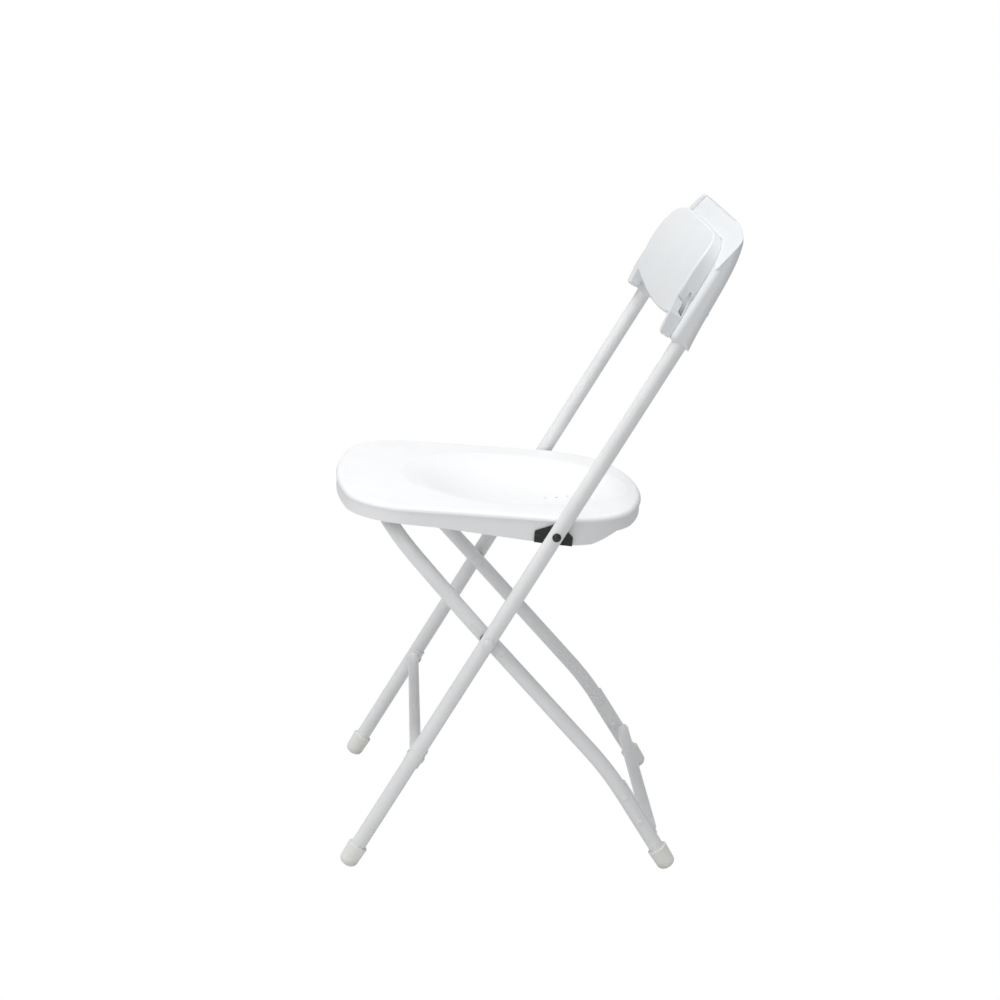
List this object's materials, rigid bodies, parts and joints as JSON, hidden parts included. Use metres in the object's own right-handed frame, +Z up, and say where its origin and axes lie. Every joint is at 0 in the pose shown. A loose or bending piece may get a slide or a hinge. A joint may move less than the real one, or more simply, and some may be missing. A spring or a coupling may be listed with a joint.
{
  "type": "folding chair",
  "caption": "Folding chair: tubular steel X-frame on rear and front legs, moulded dished seat on side pivots, moulded backrest sleeved over the front legs, capped feet.",
  "frame": {"origin": "on the floor, midway across the chair and midway between its frontmost and rearmost points, chair open", "axes": "+Z up, the sitter faces -Y, the sitter's left is +X"},
  "size_m": [0.4432, 0.4804, 0.8137],
  "materials": {
    "frame_paint": "satin white powder coat",
    "painted_rivet": "satin, painted over",
    "seat_plastic": "fine texture, white",
    "back_plastic": "fine texture, white",
    "foot_plastic": "off-white, satin",
    "black_nylon": "satin black",
    "black_rivet": "semi-gloss black"
  },
  "bodies": {
    "front_frame": {"front_leg_left": "frame_paint", "front_leg_right": "frame_paint", "front_crossbar": "frame_paint", "front_crossbar_rivets": "painted_rivet", "front_foot_left": "foot_plastic", "front_foot_right": "foot_plastic", "leg_pivot_rivets": "painted_rivet", "leg_pivot_washers": "black_nylon", "seat_pivot_rivets": "black_rivet", "backrest_rear_shell": "back_plastic", "backrest_panel": "back_plastic", "backrest_rivets": "painted_rivet"},
    "rear_legs": {"rear_leg_frame": "frame_paint", "rear_crossbar": "frame_paint", "rear_crossbar_rivets": "painted_rivet", "rear_foot_left": "foot_plastic", "rear_foot_right": "foot_plastic"},
    "seat": {"seat_shell": "seat_plastic", "seat_pivot_block_left": "black_nylon", "seat_pivot_block_right": "black_nylon", "seat_track_left": "black_nylon", "seat_track_right": "black_nylon"}
  },
  "joints": [
    {"name": "rear_leg_fold", "type": "hinge", "parent": "front_frame", "child": "rear_legs", "pos_m": [0, -0.04574, 0.29583], "axis": [-1, 0, 0], "range_deg": [0, 62]},
    {"name": "seat_fold", "type": "hinge", "parent": "front_frame", "child": "seat", "pos_m": [0, 0.03183, 0.43382], "axis": [-1, 0, 0], "range_deg": [0, 112]}
  ],
  "couplings": [
    {"joint": "seat_fold", "follows": "rear_leg_fold", "ratio": 1.8064}
  ]
}
